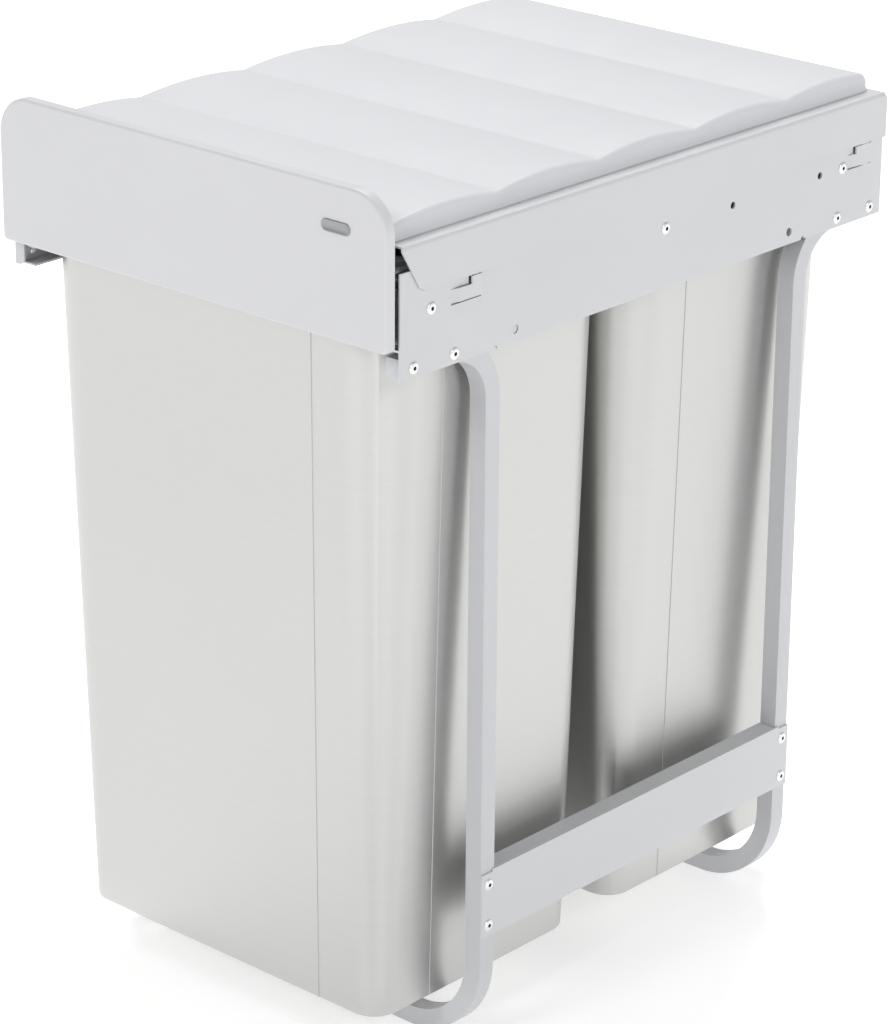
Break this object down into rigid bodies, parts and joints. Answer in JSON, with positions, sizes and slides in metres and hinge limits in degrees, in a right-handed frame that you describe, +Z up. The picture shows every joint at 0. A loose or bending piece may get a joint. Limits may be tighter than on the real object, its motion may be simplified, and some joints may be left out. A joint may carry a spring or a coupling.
{
  "type": "pull-out waste bin",
  "caption": "Pull-out waste bin for a base cabinet: steel inner bins on a sliding carriage, in a sheet and tube frame under a wavy lid.",
  "frame": {"origin": "middle of the footprint, on the floor under the two foot tubes", "axes": "+X to the right seen from the front, +Y from the front panel to the back, +Z up"},
  "size_m": [0.265, 0.3782, 0.4637],
  "materials": {
    "sheet_paint": "smooth light grey powder coat on sheet steel",
    "tube_paint": "smooth light grey powder coat on square tube",
    "stainless": "satin stainless steel, brushed across",
    "zinc": "bright zinc-plated steel",
    "ball_steel": "polished steel",
    "rivet": "plain aluminium",
    "badge": "satin, blank",
    "lid_plastic": "fine matt light grey moulding"
  },
  "bodies": {
    "frame": {"side_plate_left": "sheet_paint", "side_plate_right": "sheet_paint", "front_hoop": "tube_paint", "rear_hoop": "tube_paint", "crossbar_left": "sheet_paint", "crossbar_right": "sheet_paint", "hoop_rivets": "rivet", "crossbar_rivets": "rivet", "slide_outer_left": "zinc", "slide_outer_right": "zinc", "slide_rivets": "rivet", "lid_frame": "sheet_paint"},
    "carriage": {"slide_inner_left": "zinc", "slide_inner_right": "zinc", "rail_rivets": "rivet", "carriage_rail_left": "sheet_paint", "carriage_rail_right": "sheet_paint", "front_strut": "sheet_paint", "middle_strut": "sheet_paint", "rear_strut": "sheet_paint", "front_panel": "sheet_paint", "panel_studs": "zinc", "panel_nuts": "zinc", "nameplate": "badge", "bin_front": "stainless", "bin_rear": "stainless"},
    "slide_middles": {"slide_middle_left": "zinc", "slide_middle_right": "zinc"},
    "outer_cages": {"outer_cage_left": "zinc", "outer_cage_right": "zinc", "outer_balls": "ball_steel"},
    "inner_cages": {"inner_cage_left": "zinc", "inner_cage_right": "zinc", "inner_balls": "ball_steel"},
    "lid": {"lid": "lid_plastic"}
  },
  "joints": [
    {"name": "carriage_slide", "type": "slide", "parent": "frame", "child": "carriage", "axis": [0, -1, 0], "range_m": [0, 0.35]},
    {"name": "middle_slide", "type": "slide", "parent": "frame", "child": "slide_middles", "axis": [0, -1, 0], "range_m": [0, 0.175]},
    {"name": "outer_cage_slide", "type": "slide", "parent": "frame", "child": "outer_cages", "axis": [0, -1, 0], "range_m": [0, 0.0875]},
    {"name": "inner_cage_slide", "type": "slide", "parent": "frame", "child": "inner_cages", "axis": [0, -1, 0], "range_m": [0, 0.2625]},
    {"name": "lid_lift", "type": "slide", "parent": "frame", "child": "lid", "axis": [0, 0, 1], "range_m": [0, 0.04]}
  ],
  "couplings": [
    {"joint": "middle_slide", "follows": "carriage_slide", "ratio": 0.5},
    {"joint": "outer_cage_slide", "follows": "carriage_slide", "ratio": 0.25},
    {"joint": "inner_cage_slide", "follows": "carriage_slide", "ratio": 0.75}
  ]
}
